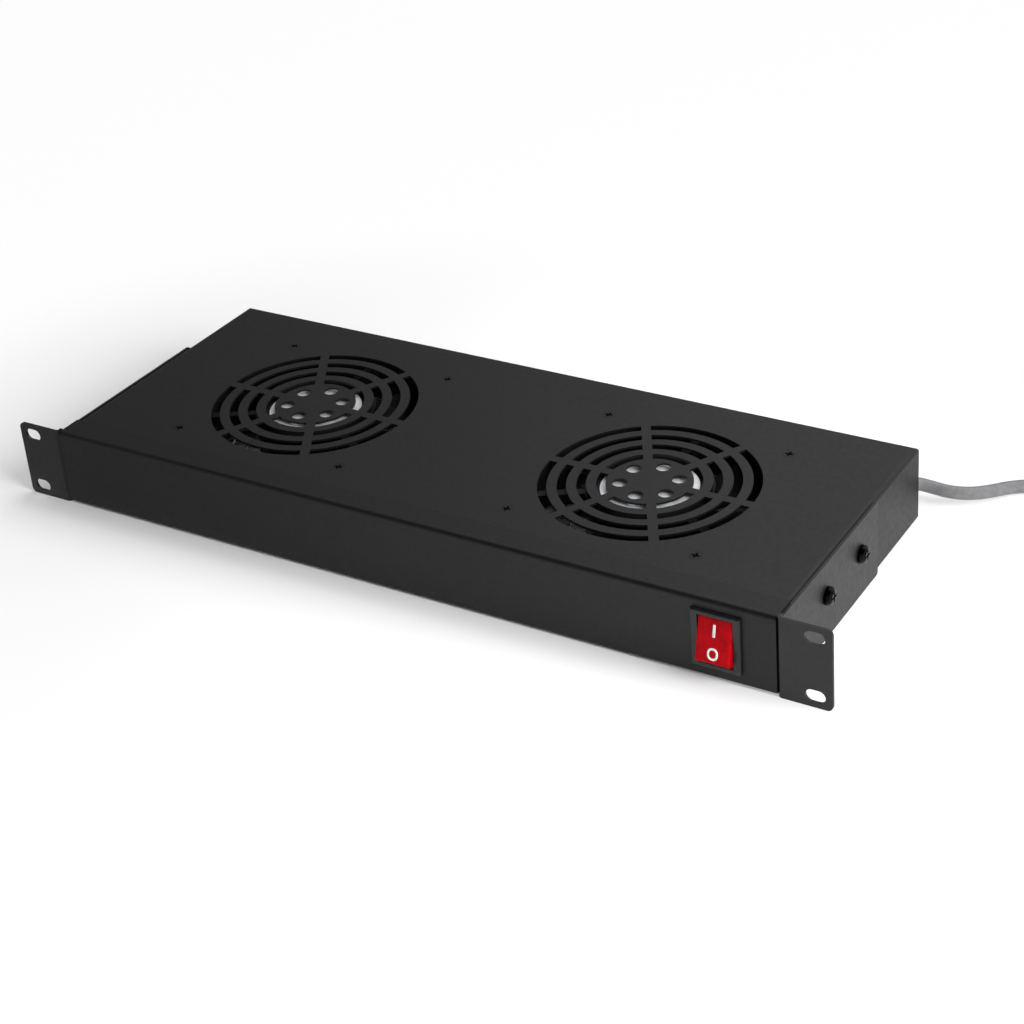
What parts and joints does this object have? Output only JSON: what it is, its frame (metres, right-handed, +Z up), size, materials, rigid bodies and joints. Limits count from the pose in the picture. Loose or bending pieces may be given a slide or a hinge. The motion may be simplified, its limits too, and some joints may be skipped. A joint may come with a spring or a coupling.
{
  "type": "rack fan tray",
  "caption": "One-unit rack tray with two axial fans bolted under punched grilles, a lit rocker switch on the front panel, slotted rack ears and a mains cord.",
  "frame": {"origin": "centre of the four rack slots, on the plane of the ears' rear faces where they meet the rack rails", "axes": "+X to the right seen from the front, +Y towards the rear of the rack, +Z up"},
  "size_m": [0.6118, 0.3585, 0.044],
  "materials": {
    "powder_coat": "fine-textured black powder coat on folded steel",
    "black_screw": "black oxide steel",
    "zinc_steel": "bright zinc plate",
    "cast_frame": "black enamelled die casting",
    "impeller_plastic": "moulded glass-filled plastic",
    "label_foil": "plain silver foil",
    "laminations": "stacked laminations with varnished windings",
    "bearing_steel": "ground bearing steel",
    "guard_wire": "nickel-plated welded wire",
    "switch_black": "moulded switch housing",
    "switch_red": "translucent red paddle",
    "lamp_glass": "neon tube",
    "contact_brass": "stamped contact metal",
    "sleeve_plastic": "insulated push-on sleeves",
    "cord_pvc": "grey PVC sheath",
    "core_pvc": "coloured core insulation",
    "lead_pvc": "black PVC sheath",
    "gland_nylon": "black nylon",
    "plug_pvc": "moulded black PVC"
  },
  "bodies": {
    "tray": {"chassis": "powder_coat", "front_panel": "powder_coat", "ear_bracket_left": "powder_coat", "ear_bracket_right": "powder_coat", "ear_screws": "black_screw", "ear_nuts": "zinc_steel", "fan_screws": "black_screw", "fan_nuts": "zinc_steel", "switch_housing": "switch_black", "switch_contacts": "contact_brass", "switch_terminals": "contact_brass", "switch_lamp": "lamp_glass", "tab_sleeves": "sleeve_plastic", "earth_tag": "zinc_steel", "cord_gland": "gland_nylon", "cord_run": "cord_pvc", "cord_coil": "cord_pvc", "cord_tail": "cord_pvc", "plug_body": "plug_pvc", "plug_pins": "contact_brass", "supply_lead": "cord_pvc", "supply_cores": "core_pvc", "earth_lead": "core_pvc", "switch_cores": "core_pvc", "fan_lead_left": "lead_pvc", "fan_lead_right": "lead_pvc", "fan_frame_left": "cast_frame", "fan_label_left": "label_foil", "fan_stator_left": "laminations", "fan_bearings_left": "bearing_steel", "fan_guard_left": "guard_wire", "fan_frame_right": "cast_frame", "fan_label_right": "label_foil", "fan_stator_right": "laminations", "fan_bearings_right": "bearing_steel", "fan_guard_right": "guard_wire"},
    "rotor_left": {"fan_impeller_left": "impeller_plastic", "rotor_core_left": "laminations", "fan_shaft_left": "bearing_steel"},
    "rotor_right": {"fan_impeller_right": "impeller_plastic", "rotor_core_right": "laminations", "fan_shaft_right": "bearing_steel"},
    "rocker": {"switch_rocker": "switch_red", "switch_plungers": "contact_brass"}
  },
  "joints": [
    {"name": "fan_left_spin", "type": "hinge", "parent": "tray", "child": "rotor_left", "pos_m": [-0.1037, 0.0845, 0.005], "axis": [0, 0, 1], "continuous": true},
    {"name": "fan_right_spin", "type": "hinge", "parent": "tray", "child": "rotor_right", "pos_m": [0.1037, 0.0845, 0.005], "axis": [0, 0, 1], "continuous": true},
    {"name": "rocker_tilt", "type": "hinge", "parent": "tray", "child": "rocker", "pos_m": [0.1835, 0.002, 0.00075], "axis": [1, 0, 0], "range_deg": [0, 25]}
  ]
}
